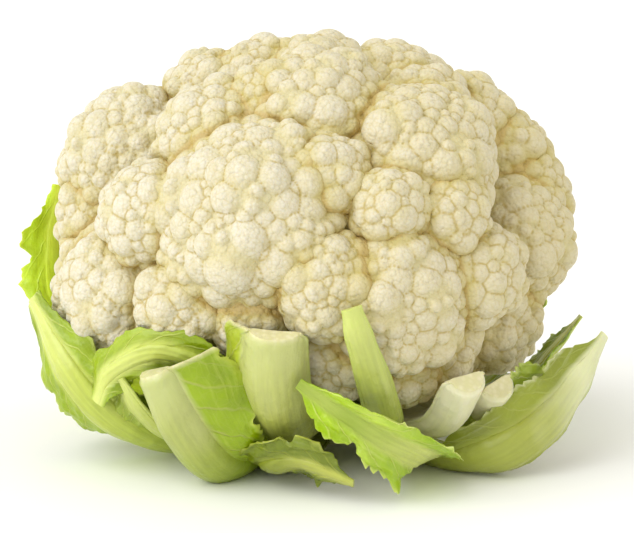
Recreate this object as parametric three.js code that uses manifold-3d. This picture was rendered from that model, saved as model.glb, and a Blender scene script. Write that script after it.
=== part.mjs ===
// A whole cauliflower as trimmed for sale: a head of tight creamy florets on a short cut stalk,
// ringed by the thick stubs of its cut leaves and by the green blades still left on some of them.
// Millimetres, +Z up. The origin is the middle of the stalk's cut face, which lies on the table.
// The front faces -Y. Longitude is measured round the stalk from the front towards +X.
import * as THREE from 'three';
import { mergeVertices } from 'three/addons/utils/BufferGeometryUtils.js';
import Module from 'manifold-3d';

// Driving dimensions
const HEAD = { middle: 70, halfWidth: 95, halfDepth: 90, up: 80, down: 44 };
const STALK = { foot: 17, radius: 19, top: 21, height: 31 };
const GAP = 0.3; // left between two pieces that touch
const BLADE = 1.1; // thickness of a leaf blade away from its rib
const FLORET_RELIEF = 0.13; // height of the small florets, as a share of their floret's radius
const SMOOTHED = 0.6; // how far a corner may move as small facets are joined
const TABLE = 0; // no leaf goes below the surface that the stalk stands on
const BRANCH = { root: 13, above: 9, foot: 7, spread: 0.55 }; // of a low floret, from the stalk's top
const LOW = 14; // florets below this latitude have a branch
const RIB_OUTSIDE = 0.72; // share of a rib's thickness that stands out from the leaf's outer face
const FIRST_SEED = 101; // of the florets' draws

const wasm = await Module();
wasm.setup();

const up = new THREE.Vector3(0, 0, 1);
const heart = new THREE.Vector3(0, 0, HEAD.middle + 5); // the leaves' outer faces look away from here
const radians = THREE.MathUtils.degToRad;

// A repeatable stream of numbers from 0 to 1.
function draws(seed) {
  let state = seed;
  return () => {
    state = (state * 16807) % 2147483647;
    return state / 2147483647;
  };
}

// A closed geometry as a solid that can be joined and cut.
function solid(geometry) {
  const bare = geometry.index ? geometry.toNonIndexed() : geometry.clone();
  bare.deleteAttribute('normal');
  bare.deleteAttribute('uv');
  const merged = mergeVertices(bare, 1e-4);
  return new wasm.Manifold(
    new wasm.Mesh({
      numProp: 3,
      vertProperties: merged.attributes.position.array,
      triVerts: new Uint32Array(merged.index.array),
    }),
  );
}

// A solid as a geometry with one position for each corner.
function geometryOf(made) {
  const mesh = made.getMesh();
  const positions = new Float32Array(mesh.numVert * 3);
  for (let i = 0; i < mesh.numVert; i++) {
    positions.set(mesh.vertProperties.subarray(i * mesh.numProp, i * mesh.numProp + 3), i * 3);
  }
  return new THREE.BufferGeometry()
    .setAttribute('position', new THREE.BufferAttribute(positions, 3))
    .setIndex(new THREE.BufferAttribute(mesh.triVerts, 1));
}

// The largest body of a solid, without the scraps that a cut leaves and the hollows that a join seals.
function largest(made) {
  return made.decompose().reduce((a, b) => (b.volume() > a.volume() ? b : a));
}

// A solid with its small facets joined, as one body.
function cleaned(made, tolerance) {
  return largest(largest(made).simplify(tolerance));
}

// The florets of the photographed side and of the back, as longitude, latitude, radius, and how far
// the floret's crown stands proud of the head.
const FRONT_FLORETS = [
  [-20, 18, 39, 5],
  [39, 34, 31, 6],
  [19, 19, 15, 3],
  [35, 16, 15, 3],
  [3, 28, 17, 0],
  [1, 57, 29, 4],
  [3, 0, 20, 2],
  [21, -4, 30, 5],
  [37, -20, 22, 5],
  [-88, 27, 29, 11],
  [-78, -8, 33, 4],
  [-39, -8, 19, 1],
  [-93, 55, 20, 2],
  [-45, 42, 23, 1],
  [-85, 71, 20, 1],
  [10, 84, 24, 1],
  [92, 64, 22, 1],
  [88, 40, 23, 3],
  [88, 27, 21, 3],
  [74, 5, 26, 2],
  [44, 1, 20, 2],
  [68, -17, 23, 5],
  [-51, 15, 20, 2],
  [-85, 10, 20, 3],
  [-27, 56, 17, 0],
  [26, -25, 17, 13],
  [6, -22, 17, 7],
  [-18, -12, 16, -2],
  [86, 16, 21, 3],
  [58, -25, 18, 2],
  [66, 50, 21, 0],
  [-58, -25, 20, 0],
  [-64, -8, 26, 10],
];
const BACK_FLORETS = [
  [122, 16, 31, 1],
  [152, 10, 30, 2],
  [183, 18, 33, 0],
  [214, 9, 30, 2],
  [243, 15, 30, 1],
  [108, -16, 27, 0],
  [135, -19, 27, 1],
  [165, -21, 28, 0],
  [196, -18, 27, 1],
  [226, -21, 27, 0],
  [120, 45, 27, 1],
  [158, 46, 30, 2],
  [203, 48, 29, 1],
  [236, 43, 26, 1],
  [205, 74, 22, 0],
  [254, -27, 23, 0],
];
const SMALL_FLORETS = { tries: 420, largest: 0.36, smallest: 0.22, spacing: 0.86, reach: 100 };

// The point under the head's surface at a longitude and latitude, as deep as inset.
function underHead(longitude, latitude, inset) {
  const [lon, lat] = [radians(longitude), radians(latitude)];
  const ray = new THREE.Vector3(
    Math.sin(lon) * Math.cos(lat),
    -Math.cos(lon) * Math.cos(lat),
    Math.sin(lat),
  );
  const vertical = latitude < 0 ? HEAD.down - inset / 2 : HEAD.up - inset;
  const reach = 1 / Math.hypot(
    ray.x / (HEAD.halfWidth - inset),
    ray.y / (HEAD.halfDepth - inset),
    ray.z / vertical,
  );
  return ray.multiplyScalar(reach).add(new THREE.Vector3(0, 0, HEAD.middle));
}

function floret(longitude, latitude, radius, proud, seed) {
  const centre = underHead(longitude, latitude, radius - proud);
  const outward = centre.clone().sub(new THREE.Vector3(0, 0, HEAD.middle)).normalize();
  return { centre, outward, radius, latitude, seed };
}

function allFlorets() {
  return [...FRONT_FLORETS, ...BACK_FLORETS].map((row, i) => floret(...row, FIRST_SEED + i));
}

// The small florets on one floret: the large ones first, and smaller ones in the room that is left.
function smallFlorets({ outward, radius, seed }) {
  const draw = draws(seed);
  const found = [];
  for (let i = 0; i < SMALL_FLORETS.tries; i++) {
    const share = Math.sqrt(i / SMALL_FLORETS.tries);
    const size = SMALL_FLORETS.largest + (SMALL_FLORETS.smallest - SMALL_FLORETS.largest) * share;
    const height = 2 * draw() - 1;
    const turn = 2 * Math.PI * draw();
    const level = Math.sqrt(1 - height * height);
    const facing = new THREE.Vector3(level * Math.cos(turn), level * Math.sin(turn), height);
    if (facing.angleTo(outward) > radians(SMALL_FLORETS.reach)) continue;
    const bump = radius * size;
    const free = found.every((other) =>
      other.facing.angleTo(facing) * radius > SMALL_FLORETS.spacing * (other.bump + bump));
    if (free) found.push({ facing, bump, middle: facing.clone().multiplyScalar(radius - bump) });
  }
  return found;
}

// How far a ray from a floret's centre goes before it leaves the floret's small florets.
function floretReach(facing, base, small) {
  let reach = base;
  for (const { middle, bump } of small) {
    const along = middle.dot(facing);
    const inside = bump * bump - middle.lengthSq() + along * along;
    if (inside > 0) reach = Math.max(reach, along + Math.sqrt(inside));
  }
  return reach;
}

// One floret: a ball whose surface is raised into small florets, with its corners closer together
// on the side that shows.
function floretSolid(made) {
  const CROWDING = 0.72;
  const MM_PER_STEP = 10.8;
  const ball = new THREE.IcosahedronGeometry(1, Math.round(made.radius / MM_PER_STEP));
  const turn = new THREE.Quaternion().setFromUnitVectors(up, made.outward);
  const small = smallFlorets(made);
  const base = made.radius * (1 - FLORET_RELIEF);
  const position = ball.attributes.position;
  const point = new THREE.Vector3();
  for (let i = 0; i < position.count; i++) {
    point.fromBufferAttribute(position, i).normalize();
    const polar = 2 * Math.atan2(CROWDING * Math.hypot(point.x, point.y), 1 + point.z);
    const level = Math.hypot(point.x, point.y) || 1;
    point.set(
      (point.x / level) * Math.sin(polar),
      (point.y / level) * Math.sin(polar),
      Math.cos(polar),
    ).applyQuaternion(turn);
    point.multiplyScalar(floretReach(point, base, small)).add(made.centre);
    position.setXYZ(i, point.x, point.y, point.z);
  }
  return solid(ball);
}

// The white flesh behind the florets, which spreads from the stalk like a mushroom.
function flesh() {
  const outline = [
    [0, 0], [20, 0], [26, 6], [42, 12], [60, 24], [72, 42], [70, 68], [54, 92], [30, 106], [0, 109],
  ];
  const floor = STALK.height + GAP;
  const profile = outline.map(([radius, height]) => new THREE.Vector2(radius, height));
  return solid(new THREE.LatheGeometry(profile, 20).rotateX(Math.PI / 2).translate(0, 0, floor));
}

// The branch that carries a low floret, from the stalk's top out to the floret's middle.
function branch({ centre, radius }) {
  const root = new THREE.Vector3(centre.x, centre.y, 0).setLength(BRANCH.root);
  root.z = STALK.height + BRANCH.above;
  const reach = new THREE.Vector3().subVectors(centre, root);
  const shape = new THREE.CylinderGeometry(radius * BRANCH.spread, BRANCH.foot, reach.length(), 9);
  shape.applyQuaternion(
    new THREE.Quaternion().setFromUnitVectors(new THREE.Vector3(0, 1, 0), reach.clone().normalize()),
  );
  shape.translate(...root.clone().addScaledVector(reach, 0.5).toArray());
  return solid(shape);
}

function curd() {
  const florets = allFlorets();
  const branches = florets.filter((made) => made.latitude < LOW).map(branch);
  const grown = [...florets.map(floretSolid), ...branches].reduce((a, b) => a.add(b), flesh());
  return cleaned(grown, SMOOTHED);
}

// The stalk, cut flat below, with the ridges of old leaf scars running round it.
function stalk(grow = 0) {
  const profile = [
    [0, 0], [STALK.foot, 0], [STALK.foot + 1.5, 2], [STALK.radius, 8], [STALK.radius - 1, 13],
    [STALK.radius, 17], [STALK.radius - 0.5, 22], [STALK.radius + 1, 27], [STALK.top, STALK.height],
    [0, STALK.height],
  ].map(([radius, height]) => new THREE.Vector2(radius ? radius + grow : 0, height));
  if (grow) {
    profile[0].y -= 1;
    profile[1].y -= 1;
    profile.at(-1).y += 1;
    profile.at(-2).y += 1;
  }
  return solid(new THREE.LatheGeometry(profile, 28).rotateX(Math.PI / 2));
}

// A value along a leaf, from a list of evenly spaced ones joined smoothly.
function along(values, share) {
  const place = share * (values.length - 1);
  const i = Math.min(Math.floor(place), values.length - 2);
  const ease = (1 - Math.cos(Math.PI * (place - i))) / 2;
  return values[i] + (values[i + 1] - values[i]) * ease;
}

// The places across a leaf from its left edge to its right one. A place is [side, kind, share]:
// on the rib, share of the rib's half width, and on the blade, share of the way out from the rib.
function places(ribPlaces, bladeSteps) {
  const onRib = ribPlaces.map((share) => [Math.sign(share), 'rib', Math.abs(share)]);
  const out = (side, steps) =>
    Array.from({ length: steps }, (_, i) => [side, 'blade', (i + 1) / steps]);
  return [...out(-1, bladeSteps[0]).reverse(), ...onRib, ...out(1, bladeSteps[1])];
}

// How far a leaf's edge goes in and out along it, in broad lobes with smaller ones on them.
function unevenEdge(share, hand, phase) {
  return 0.6 * Math.sin(17 * share + phase + hand) + 0.4 * Math.sin(41 * share + 2 * phase);
}

// A leaf follows a line through its spine's points, with a thick rib in the middle and a blade to each
// side. rib is the rib's half width, thick its thickness, left and right the blade's widths beyond the
// rib, each a list from the base to the tip. cup is the radius that the leaf bends to across its width,
// roll turns it about its own line, wave lifts its edges by an amount a number of times, and ragged
// is the share by which its edge goes in and out.
function leafSolid(leaf, grow = 0) {
  const { spine, rib, thick, left = [0], right = [0], steps = 9 } = leaf;
  const { cup = 60, roll = [0, 0], wave = [0, 0], ragged = 0.12, phase = 0 } = leaf;
  const curve = new THREE.CatmullRomCurve3(
    spine.map((point) => new THREE.Vector3(...point)), false, 'catmullrom', 0.5,
  );
  const widths = { '-1': left.length > 1 ? left : [0, 0], '1': right.length > 1 ? right : [0, 0] };
  const across = places(
    Math.max(...rib) > 6 ? [-1, -0.6, 0.6, 1] : [-1, 0, 1],
    [left, right].map((side) => (Math.max(...side) > 5 ? 2 : 1)),
  );
  const half = BLADE / 2 + grow;
  const LEAST = 0.9; // the blade's least width, so that the rib's edge keeps a lip
  const STEP = 1e-3;
  const faces = { outer: [], inner: [] };
  for (let i = 0; i <= steps; i++) {
    const share = i / steps;
    const middle = curve.getPoint(share);
    const ahead = curve.getPoint(Math.min(1, share + STEP));
    const behind = curve.getPoint(Math.max(0, share - STEP));
    const line = ahead.sub(behind).normalize();
    if (i === 0) middle.addScaledVector(line, -grow);
    if (i === steps) middle.addScaledVector(line, grow);
    const away = middle.clone().sub(heart).normalize();
    const side = new THREE.Vector3().crossVectors(line, away).normalize();
    side.applyAxisAngle(line, radians(along(roll, share)));
    const outward = new THREE.Vector3().crossVectors(side, line);
    const ribHalf = along(rib, share);
    for (const [hand, kind, part] of across) {
      const uneven = 1 + ragged * unevenEdge(share, hand, phase);
      const blade = Math.max(LEAST, along(widths[hand || 1], share) * uneven) + grow;
      const offset = hand * (kind === 'rib' ? ribHalf * part : ribHalf + blade * part);
      const onRib = kind === 'rib' ? Math.sqrt(1 - part * part) : 0;
      const turns = 2 * Math.PI * wave[1] * share + phase + hand;
      const lift = kind === 'blade' ? wave[0] * part * part * Math.min(1, blade / 8) * Math.sin(turns) : 0;
      const base = middle.clone()
        .addScaledVector(side, cup * Math.sin(offset / cup))
        .addScaledVector(outward, lift - cup * (1 - Math.cos(offset / cup)));
      const swell = (along(thick, share) - BLADE) * onRib;
      const outer = base.clone().addScaledVector(outward, half + RIB_OUTSIDE * swell);
      const inner = base.clone().addScaledVector(outward, -half - (1 - RIB_OUTSIDE) * swell);
      outer.z = Math.max(outer.z, TABLE - grow);
      inner.z = Math.max(inner.z, TABLE + BLADE + grow);
      faces.outer.push(outer);
      faces.inner.push(inner);
    }
  }
  return solid(closedSheet(faces, steps, across.length - 1));
}

// The closed geometry between two sheets of corners, both split into the same triangles.
function closedSheet({ outer, inner }, rows, columns) {
  const corners = [...outer, ...inner];
  const at = (row, column, sheet) => sheet * outer.length + row * (columns + 1) + column;
  const index = [];
  const quad = (a, b, c, d) => index.push(a, b, c, a, c, d);
  for (let row = 0; row < rows; row++) {
    for (let column = 0; column < columns; column++) {
      const ring = (sheet) => [
        at(row, column, sheet), at(row, column + 1, sheet),
        at(row + 1, column + 1, sheet), at(row + 1, column, sheet),
      ];
      quad(...ring(0));
      const [a, b, c, d] = ring(1);
      index.push(a, c, b, a, d, c);
    }
  }
  for (let row = 0; row < rows; row++) {
    quad(at(row, 0, 1), at(row, 0, 0), at(row + 1, 0, 0), at(row + 1, 0, 1));
    quad(at(row, columns, 0), at(row, columns, 1), at(row + 1, columns, 1), at(row + 1, columns, 0));
  }
  for (let column = 0; column < columns; column++) {
    quad(at(0, column, 1), at(0, column + 1, 1), at(0, column + 1, 0), at(0, column, 0));
    quad(at(rows, column, 0), at(rows, column + 1, 0), at(rows, column + 1, 1), at(rows, column, 1));
  }
  return new THREE.BufferGeometry().setFromPoints(corners).setIndex(index);
}

// The leaves of the front and the sides, named by where they are.
const LEAVES = {
  leaf_front_left_petiole: {
    spine: [[-12, -11, 10], [-22, -38, 6], [-34, -62, 7], [-44, -75, 21], [-54, -77, 42]],
    rib: [8, 9, 9.5, 9, 8], thick: [7, 9, 11, 10, 8],
    right: [0, 0, 9, 16, 20, 17], cup: 26, wave: [3, 1.7], phase: 0.4, ragged: 0.1,
  },
  leaf_front_petiole: {
    spine: [[-2, -16, 19], [-6, -42, 15], [-11, -66, 21], [-14, -81, 37], [-14, -88, 57]],
    rib: [7, 9, 11, 11.5, 10.5], thick: [7, 8, 10, 9.5, 8],
    left: [0, 0, 2, 8, 10], cup: 22,
  },
  leaf_front_low: {
    spine: [[0, -14, 4.5], [-6, -44, 3.5], [-15, -68, 7], [-5, -82, 12], [12, -89, 7]],
    rib: [6, 6, 5, 3, 1], thick: [6, 6, 4, 2.4, 1.2],
    left: [0, 0, 7, 11, 1], right: [0, 0, 7, 9, 1], cup: 40, ragged: 0.25, steps: 11,
  },
  leaf_front_right_flap: {
    spine: [[7, -14, 11], [26, -42, 6], [36, -65, 9], [33, -83, 15], [22, -93, 23], [8, -93, 32],
      [-6, -90, 41]],
    rib: [6, 6, 5, 4, 3, 2, 1], thick: [6, 6, 4, 3, 2.4, 2, 1.4],
    left: [0, 0, 4, 7, 9, 7, 1], right: [0, 0, 5, 9, 8, 5, 1], cup: -16, wave: [2.2, 2.6],
    ragged: 0.25, steps: 13,
  },
  leaf_front_sliver: {
    spine: [[9, -14, 20], [19, -40, 14], [23, -66, 19], [20, -84, 36], [14, -95, 56], [11, -96, 67]],
    rib: [5, 6, 6.5, 5.5, 4, 2.6], thick: [5, 5, 4, 3.4, 2.8, 2], cup: 14,
  },
  leaf_front_left_fold: {
    spine: [[-10, -13, 24], [-26, -48, 26], [-37, -69, 42], [-54, -70, 47], [-70, -62, 38], [-75, -60, 27]],
    rib: [4, 4, 3.4, 3, 2.4, 1.4], thick: [5, 5, 4, 3, 2.4, 1.4],
    left: [0, 2, 5, 6, 6, 2], right: [0, 2, 5, 6, 6, 2], cup: 18, ragged: 0.2, steps: 11,
  },
  leaf_left_strip: {
    spine: [[-16, -9, 16], [-36, -30, 11], [-50, -52, 14], [-60, -62, 25], [-67, -62, 36]],
    rib: [4, 5, 4.6, 4, 2.6], thick: [5, 5, 4.4, 3.6, 2],
    left: [0, 3, 12, 12, 6], cup: -30, wave: [2, 2], ragged: 0.35,
  },
  leaf_left: {
    spine: [[-18, -4, 8], [-46, -28, 5], [-68, -50, 17], [-85, -53, 35], [-100, -35, 58]],
    rib: [6, 7, 7, 5, 2], thick: [7, 7, 6, 4, 2],
    left: [0, 3, 11, 12, 3], right: [0, 3, 9, 9, 4], roll: [0, 15, 35, 35, 20], cup: 30,
    ragged: 0.2, steps: 10,
  },
  leaf_left_lobe: {
    spine: [[-19, 3, 12], [-48, -6, 10], [-74, -20, 18], [-90, -28, 31]],
    rib: [5, 4, 3, 1.4], thick: [6, 5, 3, 1.6], left: [0, 1, 10, 12, 4], right: [0, 1, 7, 10, 4],
    roll: [0, 20, 80], ragged: 0.2,
  },
  leaf_left_tall: {
    spine: [[-18, 7, 19], [-48, 14, 13], [-82, 15, 22], [-97, 12, 48], [-99, 12, 70], [-96, 15, 92]],
    rib: [6, 6, 5, 4, 2.6, 1.2], thick: [7, 6, 5, 4, 2.6, 1.4],
    left: [0, 0, 4, 5, 5, 4, 1], right: [0, 0, 4, 4, 7, 8, 2], roll: [0, 0, -20, -50, -50], cup: -30,
    wave: [2, 3], ragged: 0.35, steps: 11,
  },
  leaf_right_stub_front: {
    spine: [[13, -13, 24], [30, -38, 17], [43, -61, 22], [50, -77, 39]],
    rib: [6, 7, 8, 8], thick: [8, 8, 9, 8], cup: 20, steps: 7,
  },
  leaf_right_stub: {
    spine: [[18, -7, 25], [42, -26, 18], [56, -44, 20], [62, -60, 33]],
    rib: [6, 7, 7.5, 7], thick: [8, 8, 9, 8], cup: 20, steps: 7,
  },
  leaf_right: {
    spine: [[13, -12, 9], [42, -42, 5], [60, -59, 8], [77, -57, 17], [90, -47, 30], [101, -38, 46]],
    rib: [7, 8, 8, 7, 5, 1.4], thick: [7, 8, 7, 6, 4, 1.4],
    left: [0, 3, 8, 11, 9, 1], right: [0, 2, 2, 2, 1.5, 1], roll: [0, -10, -35, -42, -40, -30], cup: 30,
    ragged: 0.2, steps: 12,
  },
  leaf_right_frill: {
    spine: [[17, -9, 15], [33, -31, 10], [51, -48, 16], [66, -52, 24], [79, -44, 33]],
    rib: [3, 3, 3, 2.4, 1.2], thick: [4, 2.6, 2.6, 2.4, 1.4],
    left: [0, 1, 8, 10, 5], right: [0, 1, 1, 1, 1], roll: [0, 0, -20, -30, -20], cup: 40, wave: [2, 3],
    ragged: 0.35, steps: 7,
  },
  leaf_right_thin: {
    spine: [[19, 1, 18], [46, 0, 13], [74, -1, 19], [88, -1, 33], [98, 0, 45]],
    rib: [5, 5, 4, 3, 1], thick: [6, 5, 4, 3, 1.4],
    left: [0, 2, 5, 4, 1], right: [0, 2, 8, 8, 2], cup: 40, ragged: 0.25,
  },
};

// The leaves round the back, out of the photographed side. Some are cut off short. Each row is
// longitude, height at the stalk, how far up it goes, and the blade's width.
const BACK_LEAVES = [
  [118, 8, 1, 9],
  [145, 20, 0.55, 0],
  [172, 9, 0.9, 10],
  [200, 20, 0.6, 0],
  [228, 9, 1, 8],
];

function backLeaf([longitude, base, share, blade]) {
  const lon = radians(longitude);
  const squash = HEAD.halfDepth / HEAD.halfWidth;
  const path = [[18, base], [44, 4 + base / 2], [70, 7 + base / 2], [86, 26], [97, 50], [98, 66]];
  const kept = path.slice(0, Math.ceil(path.length * share));
  return {
    spine: kept.map(([reach, height]) => [Math.sin(lon) * reach, -Math.cos(lon) * reach * squash, height]),
    rib: blade ? [7, 8, 7, 4, 1.4] : [7, 8, 9], thick: blade ? [7, 8, 6, 4, 1.4] : [7, 8, 9],
    left: [0, blade * 0.5, blade, blade, 1], right: [0, blade * 0.4, blade, blade * 0.8, 1],
    cup: blade ? 30 : 20, ragged: 0.25, phase: longitude, wave: [blade / 5, 2], steps: blade ? 9 : 7,
  };
}

const COLOURS = { curd: 0xf1e8c8, stalk: 0xd8dfa6, petiole: 0xd3dd9c, blade: 0x9dbf3a };

function part(name, made, color) {
  const look = new THREE.MeshStandardMaterial({ color, roughness: 0.6, metalness: 0 });
  const mesh = new THREE.Mesh(geometryOf(made), look);
  mesh.name = name;
  return mesh;
}

const cauliflower = new THREE.Group();
cauliflower.name = 'cauliflower';
cauliflower.add(part('curd', curd(), COLOURS.curd));
cauliflower.add(part('stalk', stalk(), COLOURS.stalk));
let taken = stalk(GAP);
const leaves = Object.entries(LEAVES);
BACK_LEAVES.forEach((row, i) => leaves.push([`leaf_back_${i + 1}`, backLeaf(row)]));
for (const [name, leaf] of leaves) {
  const colour = /petiole|stub/.test(name) ? COLOURS.petiole : COLOURS.blade;
  const cut = cleaned(leafSolid(leaf).subtract(taken), SMOOTHED / 3);
  cauliflower.add(part(name, cut, colour));
  taken = taken.add(leafSolid(leaf, GAP));
}

export default cauliflower;
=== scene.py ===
"""A whole trimmed cauliflower on a white table: creamy florets, cut leaf stubs and ragged green leaves.

Lengths are in millimetres and become metres as each mesh is made. The head, its florets and the lines of
the leaves are those of the solids. The small florets, buds, veins and torn edges are finer.
"""
import itertools
import math

import bmesh
import bpy
import numpy as np
from mathutils import Matrix, Vector


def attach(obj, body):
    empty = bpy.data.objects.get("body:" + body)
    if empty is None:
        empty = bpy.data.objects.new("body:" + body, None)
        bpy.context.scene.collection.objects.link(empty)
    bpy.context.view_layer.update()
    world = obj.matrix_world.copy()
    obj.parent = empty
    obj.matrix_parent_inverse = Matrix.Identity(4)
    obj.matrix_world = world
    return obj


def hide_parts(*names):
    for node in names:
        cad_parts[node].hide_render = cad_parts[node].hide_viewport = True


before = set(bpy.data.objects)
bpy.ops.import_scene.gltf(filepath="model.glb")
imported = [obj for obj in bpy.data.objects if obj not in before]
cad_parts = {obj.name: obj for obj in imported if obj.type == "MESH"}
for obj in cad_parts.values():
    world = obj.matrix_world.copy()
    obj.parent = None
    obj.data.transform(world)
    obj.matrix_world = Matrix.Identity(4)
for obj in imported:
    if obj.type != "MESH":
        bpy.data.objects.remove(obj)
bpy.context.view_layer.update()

MM = 0.001
TABLE = 0  # height of the surface under it all

# The head: the height of its widest level, its half width and half depth, and its reach up and down
HEAD_MIDDLE = 70
HEAD_HALF_WIDTH = 95
HEAD_HALF_DEPTH = 90
HEAD_UP = 80
HEAD_DOWN = 44
HEART = np.array([0.0, 0.0, HEAD_MIDDLE + 5.0])  # the leaves' outer faces look away from here

# The stalk: the radius of its cut face, its usual radius, the radius of its top, and its height
STALK_FOOT = 17
STALK_RADIUS = 19
STALK_TOP = 21
STALK_HEIGHT = 31
STALK_SIDES = 96
STALK_STEPS = 6  # rows of corners between two radii of the stalk's outline
STALK_RIDGE = 0.3  # height of the ridges round it
GAP = 0.3  # left between the stalk and the flesh above it

# Radii of the flesh behind the florets, and their heights above the stalk
FLESH = [(20, 0), (26, 6), (42, 12), (60, 24), (70, 40), (67, 60), (52, 82), (29, 96)]
FLESH_SIDES = 40
FLESH_STEP = 2.8  # the distance between the corners of the joined flesh
FLESH_SOFTENING = 6  # times that the joined flesh is smoothed
FLESH_DEPTH = 0.6  # how deep in painted crease shade it is, where 1 is a crease between florets

# A low floret's branch: where it leaves the stalk, its radius there, and at the floret, as a share of it
BRANCH_ROOT = 13
BRANCH_ABOVE = 9
BRANCH_FOOT = 7
BRANCH_SPREAD = 0.55
BRANCH_SIDES = 24

# Longitude, latitude, radius, and how far the floret's crown stands proud of the head
FRONT_FLORETS = [
    (-20, 18, 39, 5), (39, 34, 31, 6), (19, 19, 15, 3), (35, 16, 15, 3), (3, 28, 17, 0), (1, 57, 29, 4),
    (3, 0, 20, 2), (21, -4, 30, 5), (37, -20, 22, 5), (-88, 27, 29, 11), (-78, -8, 33, 4),
    (-39, -8, 19, 1), (-93, 55, 20, 2), (-45, 42, 23, 1), (-85, 71, 20, 1), (10, 84, 24, 1),
    (92, 64, 22, 1), (88, 40, 23, 3), (88, 27, 21, 3), (74, 5, 26, 2), (44, 1, 20, 2), (68, -17, 23, 5),
    (-51, 15, 20, 2), (-85, 10, 20, 3), (-27, 56, 17, 0), (26, -25, 17, 13), (6, -22, 17, 7),
    (-18, -12, 16, -2), (86, 16, 21, 3), (58, -25, 18, 2), (66, 50, 21, 0), (-58, -25, 20, 0),
    (-64, -8, 26, 10),
]
BACK_FLORETS = [
    (122, 16, 31, 1), (152, 10, 30, 2), (183, 18, 33, 0), (214, 9, 30, 2), (243, 15, 30, 1),
    (108, -16, 27, 0), (135, -19, 27, 1), (165, -21, 28, 0), (196, -18, 27, 1), (226, -21, 27, 0),
    (120, 45, 27, 1), (158, 46, 30, 2), (203, 48, 29, 1), (236, 43, 26, 1), (205, 74, 22, 0),
    (254, -27, 23, 0),
]
LOW = 14  # florets below this latitude have a branch
FRONT_FINENESS = 1.15  # steps along an edge of a floret's ball, for each millimetre of its radius
BACK_FINENESS = 0.75
CROWDING = 0.6  # how far a ball's corners are drawn to the side that shows
FULLNESS = 2.28  # 2 is a round ball; more makes its shoulders fuller
FIRST_SEED = 3001  # of the florets' draws
SEED_STEP = 17
WARM_UP = 3  # the first draws of a stream are alike for like seeds, so they are passed over

# Swellings on a floret, as shares of its radius, and small florets on those, in millimetres. The foot of
# each is a circle of its size, and its dome is cut from a larger ball.
LOBES = {"tries": 80, "spacing": 0.8, "reach": 118, "falloff": 0.5}
LOBE_LARGEST = 0.5
LOBE_SMALLEST = 0.24
LOBE_FLOOR = 0.9
BUMPS = {"tries": 2800, "spacing": 0.93, "reach": 108, "falloff": 0.36}
BUMP_LARGEST = 7.2
BUMP_SMALLEST = 1.5
BUMP_START = 2.8  # a small floret's largest bump is this and a share of the floret's radius
BUMP_SHARE = 0.12
BUMP_BALL = 1.5  # a dome's ball, in sizes of its foot
BUMP_PROUD = 0.235  # how far a dome's crown stands out, in sizes of its foot
BUMP_FLOOR = 1.4  # how far below the swelling the ground between the domes lies
CREASE = 0.55  # a crease's painted shade ends where one dome stands this far above the next
LOW_GROUND = 0.6  # the painted shade of low ground ends at this share of the tallest dome's height
DEEP = (-1, 4.5)  # distances to the next floret's ball, where its painted shade is full and where it ends

BUD = 3.0  # the distance between buds on a small floret
BUD_FOOT = 0.8  # radius of a bud, in distances between buds
BUD_HEIGHT = 0.28
BUD_LEVEL = 0.6  # share of a bud's height that is below the dome it grows from
BUD_SEED = 7
SCATTER = np.array([73856093, 19349663, 83492791])  # they give each cell of space a number of its own
SCATTER_SEED = 2654435
SCATTER_AGAIN = 73244475
LAST_BITS = 0x7FFFFFFF
BUDS = 360  # buds and grains of the curd in a metre
GRAINS = 820

# Leaves: rows of corners along one, and corners across the rib, and across each blade, in a row
LEAF_ROWS = 96
RIB_CORNERS = 15
BLADE_CORNERS = 14
NARROW_CORNERS = 3
NARROW = 2  # a blade never wider than this has few corners
BLADE = 1.1  # thickness of a leaf blade away from its rib
NARROWEST = 0.9  # a blade is never narrower
EDGE_THINNING = 0.55  # share of its thickness that a blade loses at its edge
RIB_OUTSIDE = 0.72  # share of a rib's thickness that stands out of the leaf's outer face
WHOLE_WIDTH = 8  # a blade as wide as this has its full waves and veins
VEINS = 9  # side veins along a leaf
VEIN_PROUD = 0.45  # how far a vein stands out of the outer face
VEIN_SUNK = 0.25  # and how far it sinks the inner face
VEIN_SLANT = 1.5  # how far a vein slants on its way to the edge, in distances between veins
PUFF = 0.15  # how far the blade swells between two veins
RIPPLE = 0.9  # height of the ripples along a blade's edge
RIPPLES = 44  # ripples, strings and pleats are waves, so many radians along a leaf or in a millimetre
STRING = 0.16  # height of the strings along a rib
STRINGS = 3.1
PLEATS_ACROSS = 1.3
PLEATS_ALONG = 9
PLEATED = (0.15, 0.5)  # places along a leaf where its pleats begin and where they are whole
RIB_FADE = 2.5  # width of the band beside the rib that has the rib's colour
FIBRES = 20  # how wide a unit of the fibres' pattern is
CUT_RIB = 4  # half width of a rib's end, above which the leaf was cut off there
WORN_FROM = 0.972  # place along a cut leaf where its end begins to round off
WORN = 0.22  # share of the rib's size that is lost there
CUT_FROM = 0.982  # place along a cut leaf where the skin gives way to the cut face
SHARP = 55  # an edge between faces that turn by more degrees than this is sharp
NEARBY = 1e-3  # places along a leaf this far apart give the way it runs
PLAIN_LEAF = {
    "left": [0, 0], "right": [0, 0], "cup": 60, "roll": [0, 0], "wave": [0, 0], "ragged": 0.12, "phase": 0,
    "pleat": 0.35, "front": RIB_OUTSIDE,
}

TABLE_REACH = 30  # metres from its middle to each edge
CAMERA_TILT = 10  # degrees above level
CAMERA_DISTANCE = 700
CAMERA_TARGET = 63.6  # height of the point that it looks at
CAMERA_LENS = 107.7
CAMERA_SENSOR = 36


def draws(seed):
    """A repeatable stream of numbers from 0 to 1."""
    state = seed
    while True:
        state = (state * 16807) % 2147483647
        yield state / 2147483647


def smooth(low, high, value):
    """0 up to low, 1 from high on, and an even rise between them."""
    share = np.clip((value - low) / (high - low), 0, 1)
    return share * share * (3 - 2 * share)


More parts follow.
